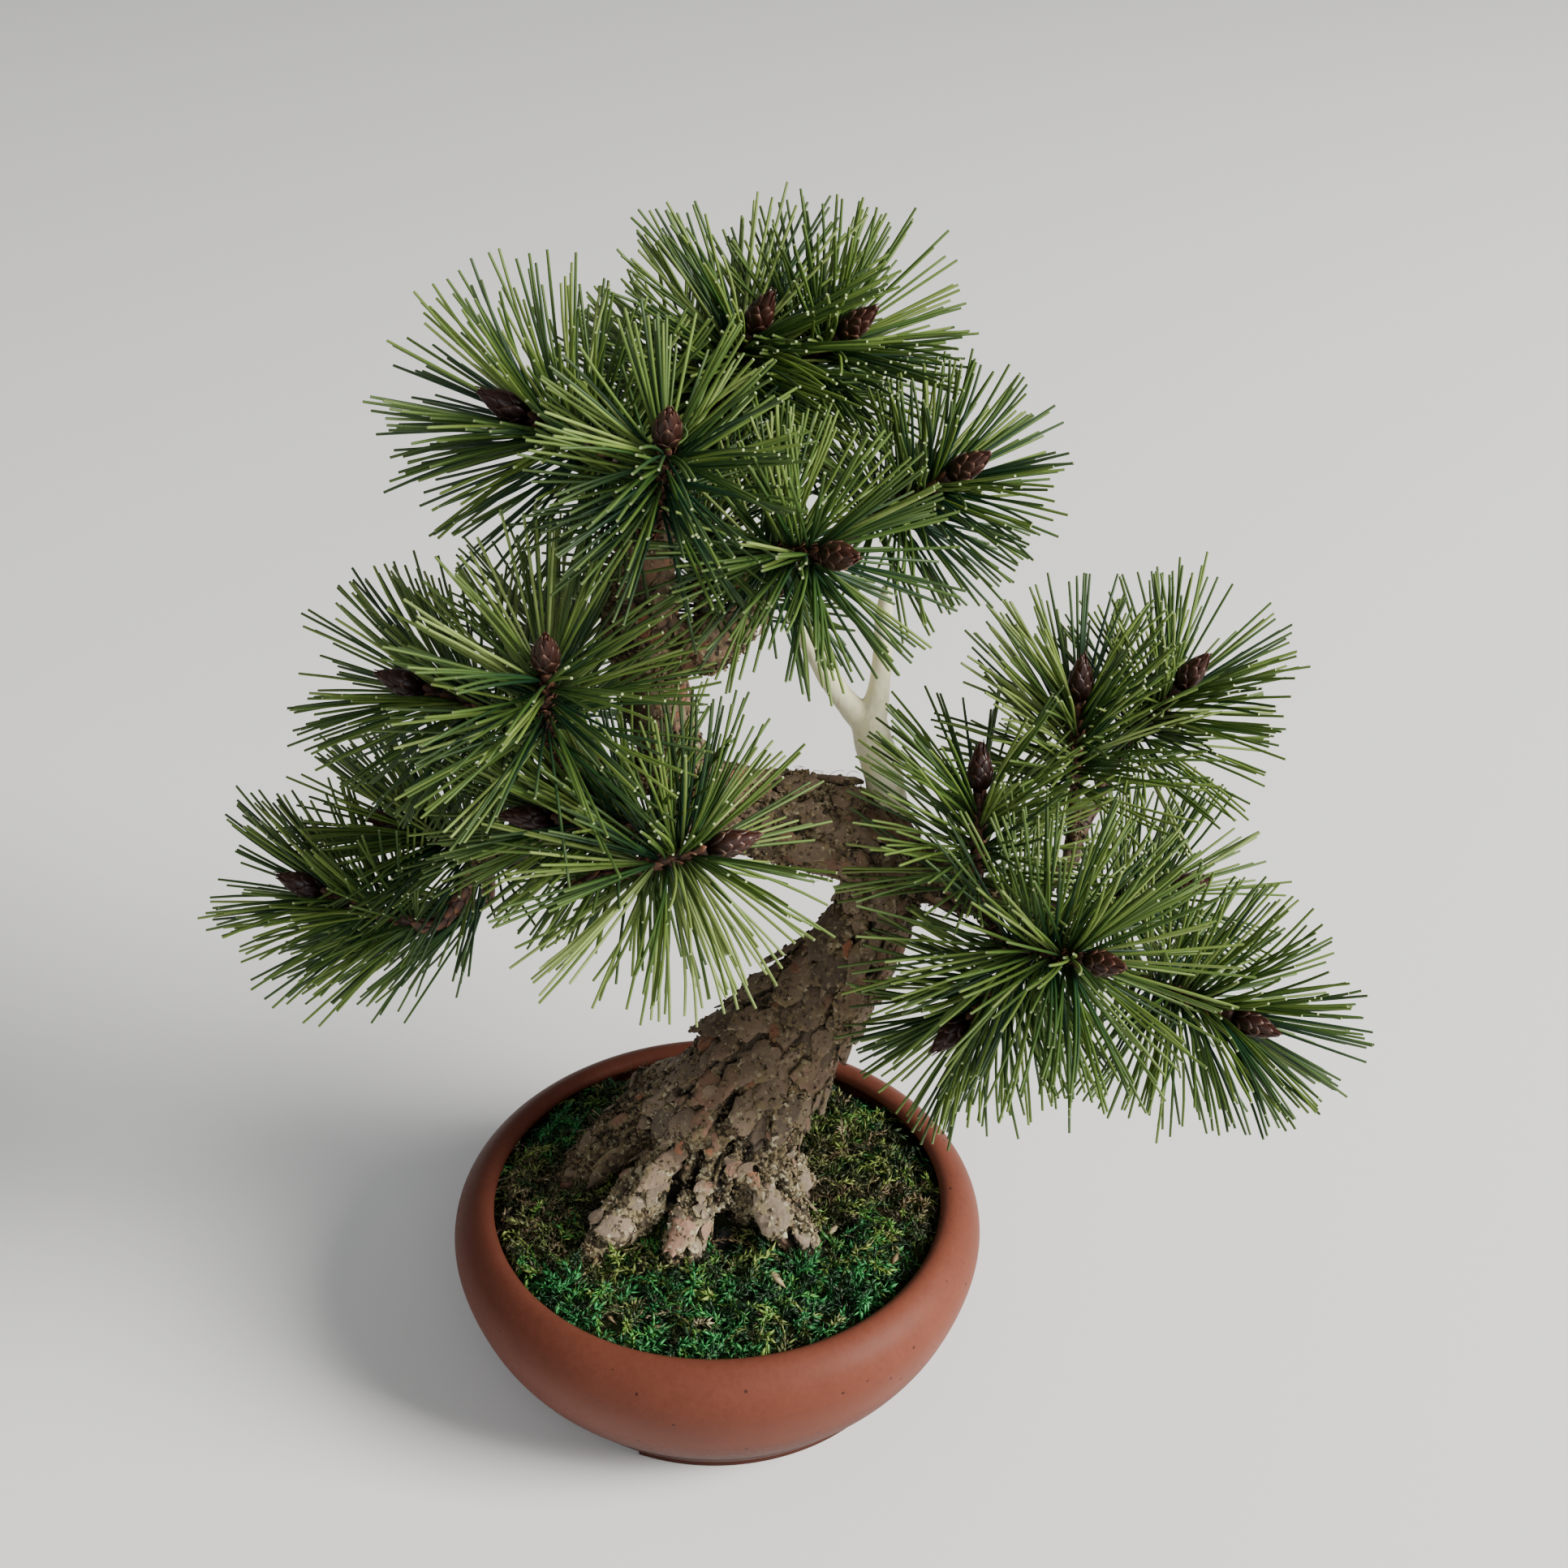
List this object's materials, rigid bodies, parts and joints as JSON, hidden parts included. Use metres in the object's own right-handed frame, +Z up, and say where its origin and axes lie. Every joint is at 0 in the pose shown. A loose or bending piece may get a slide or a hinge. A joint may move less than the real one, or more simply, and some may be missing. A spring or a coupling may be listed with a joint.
{
  "type": "potted pine bonsai tree",
  "caption": "Leaning pine bonsai with plated bark, forked deadwood, radiating needle sprays and scaly buds, standing in moss in a round unglazed pot.",
  "frame": {"origin": "centre of the pot on the surface that it stands on; the flat underside of the pot is 3 mm above it, on three arc feet", "axes": "+Z up, +X to the right and +Y to the back, seen from the tree's front"},
  "size_m": [0.3965, 0.2287, 0.4293],
  "materials": {
    "terracotta": "satin unglazed red clay",
    "soil": "matte granular",
    "moss": "matte curly fibres",
    "bark": "rough plated bark",
    "deadwood": "smooth bleached wood",
    "needles": "satin green needles",
    "bud_scales": "glossy brown scales"
  },
  "bodies": {
    "root": {"pot": "terracotta", "soil": "soil", "moss": "moss", "trunk": "bark", "deadwood": "deadwood", "needles_apex_front": "needles", "needles_apex_back": "needles", "needles_apex_right": "needles", "needles_apex_left": "needles", "needles_crown_back": "needles", "needles_upper_right": "needles", "needles_upper_front": "needles", "needles_inner_rise": "needles", "needles_left_front": "needles", "needles_left_high": "needles", "needles_left_rear": "needles", "needles_left_inner": "needles", "needles_left_back": "needles", "needles_left_tip": "needles", "needles_left_low": "needles", "needles_centre_front": "needles", "needles_right_inner": "needles", "needles_right_high": "needles", "needles_right_back_high": "needles", "needles_right_front": "needles", "needles_right_tip": "needles", "needles_right_low": "needles", "needles_right_back": "needles", "bud_apex_front": "bud_scales", "bud_apex_back": "bud_scales", "bud_apex_right": "bud_scales", "bud_apex_left": "bud_scales", "bud_crown_back": "bud_scales", "bud_upper_right": "bud_scales", "bud_upper_front": "bud_scales", "bud_left_front": "bud_scales", "bud_left_high": "bud_scales", "bud_left_rear": "bud_scales", "bud_left_inner": "bud_scales", "bud_left_back": "bud_scales", "bud_left_tip": "bud_scales", "bud_centre_front": "bud_scales", "bud_right_inner": "bud_scales", "bud_right_high": "bud_scales", "bud_right_back_high": "bud_scales", "bud_right_front": "bud_scales", "bud_right_tip": "bud_scales", "bud_right_low": "bud_scales", "bud_right_back": "bud_scales"}
  },
  "joints": []
}
